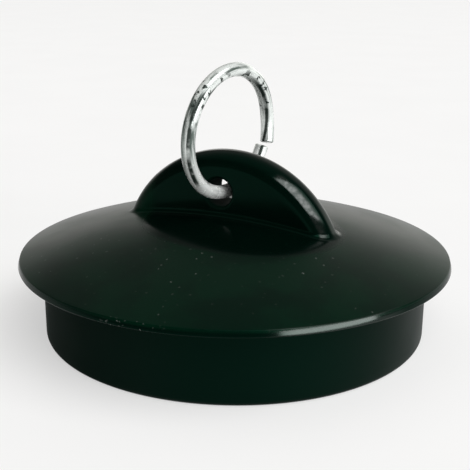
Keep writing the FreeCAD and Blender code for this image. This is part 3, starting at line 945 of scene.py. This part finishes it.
def floor_material(paint):
    """Pale studio floor that is near white to the eye and still takes the plug's shadow."""
    material, tree, shader, place = new_material("pale_floor")
    grain = remap(tree, noise(tree, place, FLOOR_WAVES), 0.3, 0.7, 0.98, 1.0)
    tone = add_node(tree, "ShaderNodeVectorMath", {0: paint, 3: grain}, operation="SCALE")
    set_inputs(tree, shader, {"Base Color": tone.outputs[0], "Roughness": 1.0, "Specular IOR Level": 0.0})
    path = add_node(tree, "ShaderNodeLightPath").outputs
    seen = calc(tree, "MAXIMUM", path["Is Camera Ray"], path["Is Glossy Ray"])
    seen = calc(tree, "MAXIMUM", seen, path["Is Transmission Ray"])
    glow = add_node(tree, "ShaderNodeEmission", {"Color": (1, 1, 1, 1), "Strength": 1.0})
    mixed = add_node(tree, "ShaderNodeMixShader", {0: calc(tree, "MULTIPLY", seen, FLOOR_GLOW),
                                                   1: shader.outputs[0], 2: glow.outputs[0]})
    set_inputs(tree, tree.nodes["Material Output"], {"Surface": mixed.outputs[0]})
    return material


def build_world():
    """A dim studio: a pale band along the horizon, a soft window behind, and faint light overhead."""
    world = bpy.data.worlds.new("studio")
    bpy.context.scene.world = world
    world.use_nodes = True
    tree = world.node_tree
    way = add_node(tree, "ShaderNodeTexCoord").outputs["Generated"]

    def towards(bearing, lift, start, full, dark, light):
        """Light that grows towards a direction, between two cosines of the angle from it."""
        cosine = vector_calc(tree, "DOT_PRODUCT", way, direction(bearing, lift))
        return remap(tree, cosine, start, full, dark, light)

    sine = vector_calc(tree, "DOT_PRODUCT", way, (0, 0, 1))
    horizon = remap(tree, sine, 0.44, 0.17, 0.0, HORIZON_LEVEL)
    level = calc(tree, "MULTIPLY_ADD", horizon, towards(*HORIZON_PLACE), ROOM_LEVEL)
    for place in (WINDOW_PLACE, OVERHEAD_PLACE):
        level = calc(tree, "ADD", level, towards(*place))
    set_inputs(tree, tree.nodes["Background"], {"Color": (*ROOM_TINT, 1), "Strength": level})


class STOPPER_OT_set_stage(bpy.types.Operator):
    """Set up the floor, the light and the camera"""
    bl_idname = "stopper.set_stage"
    bl_label = "Set Stage"
    bl_options = {"REGISTER", "UNDO"}

    def execute(self, context):
        scene = context.scene
        stage = scene.stopper_stage
        scene.view_settings.view_transform = "Standard"
        build_world()
        for name, (low, high, width, radiance) in PANELS.items():
            add_panel_light(name, direction(*low), direction(*high), width, radiance)

        mesh = bpy.data.meshes.new("studio_floor")
        corners = [(x * FLOOR_REACH, y * FLOOR_REACH, 0) for x, y in ((-1, -1), (1, -1), (1, 1), (-1, 1))]
        mesh.from_pydata(corners, [], [(0, 1, 2, 3)])
        mesh.materials.append(floor_material(stage.floor))
        floor = bpy.data.objects.new("studio_floor", mesh)
        scene.collection.objects.link(floor)

        camera = bpy.data.objects.new("camera", bpy.data.cameras.new("camera"))
        scene.collection.objects.link(camera)
        camera.data.lens = stage.lens
        camera.data.sensor_width = SENSOR
        camera.data.clip_start = NEAR_CLIP
        sine, cosine = math.sin(stage.view_turn), math.cos(stage.view_turn)
        level = math.cos(stage.view_lift)
        back = Vector((sine * level, -cosine * level, math.sin(stage.view_lift)))
        target = Vector((0, 0, stage.view_height))
        roll = Matrix.Rotation(stage.view_roll, 4, "Z")
        camera.matrix_world = (Matrix.Translation(target + back * stage.view_distance)
                               @ back.to_track_quat("Z", "Y").to_matrix().to_4x4() @ roll)
        scene.camera = camera
        return {"FINISHED"}


class STOPPER_OT_mould_plug(bpy.types.Operator):
    """Mould the rubber plug with its dome, tab and eye"""
    bl_idname = "stopper.mould_plug"
    bl_label = "Mould Plug"
    bl_options = {"REGISTER", "UNDO"}

    def execute(self, context):
        scene = context.scene
        form = PlugForm(scene.stopper_plug)
        material = rubber_material(scene.stopper_finish, form)
        mesh = plug_mesh(form, material)
        add_piece("plug_moulding", mesh, "plug", "rubber_plug")
        return {"FINISHED"}


class STOPPER_OT_bend_ring(bpy.types.Operator):
    """Bend the wire ring into the eye of the tab"""
    bl_idname = "stopper.bend_ring"
    bl_label = "Bend Ring"
    bl_options = {"REGISTER", "UNDO"}

    def execute(self, context):
        scene = context.scene
        material = wire_material(scene.stopper_finish)
        mesh = ring_mesh(scene.stopper_ring, material)
        ring = add_piece("chain_ring", mesh, "ring", "wire_ring")
        # The wire leaves no bright smear in the rubber's gloss.
        ring.visible_glossy = False
        return {"FINISHED"}


class STOPPER_PT_panel(bpy.types.Panel):
    """Lists the steps that build the stopper"""
    bl_idname = "STOPPER_PT_panel"
    bl_label = "Drain Stopper"
    bl_space_type = "VIEW_3D"
    bl_region_type = "UI"
    bl_category = "Stopper"

    def draw(self, context):
        for operator in (STOPPER_OT_set_stage, STOPPER_OT_mould_plug, STOPPER_OT_bend_ring):
            self.layout.operator(operator.bl_idname)


SETTINGS = {"stopper_plug": PlugSizes, "stopper_ring": RingSizes, "stopper_finish": Finishes,
            "stopper_stage": StageSettings}
CLASSES = (*SETTINGS.values(), STOPPER_OT_set_stage, STOPPER_OT_mould_plug, STOPPER_OT_bend_ring,
           STOPPER_PT_panel)


def register():
    """Add the settings, the operators and the panel."""
    for item in CLASSES:
        bpy.utils.register_class(item)
    for name, group in SETTINGS.items():
        setattr(bpy.types.Scene, name, PointerProperty(type=group))


def unregister():
    """Take them away again."""
    for name in SETTINGS:
        delattr(bpy.types.Scene, name)
    for item in reversed(CLASSES):
        bpy.utils.unregister_class(item)


def main():
    """Build the stopper in its studio."""
    register()
    bpy.ops.stopper.set_stage()
    bpy.ops.stopper.mould_plug()
    bpy.ops.stopper.bend_ring()


if __name__ == "__main__":
    main()
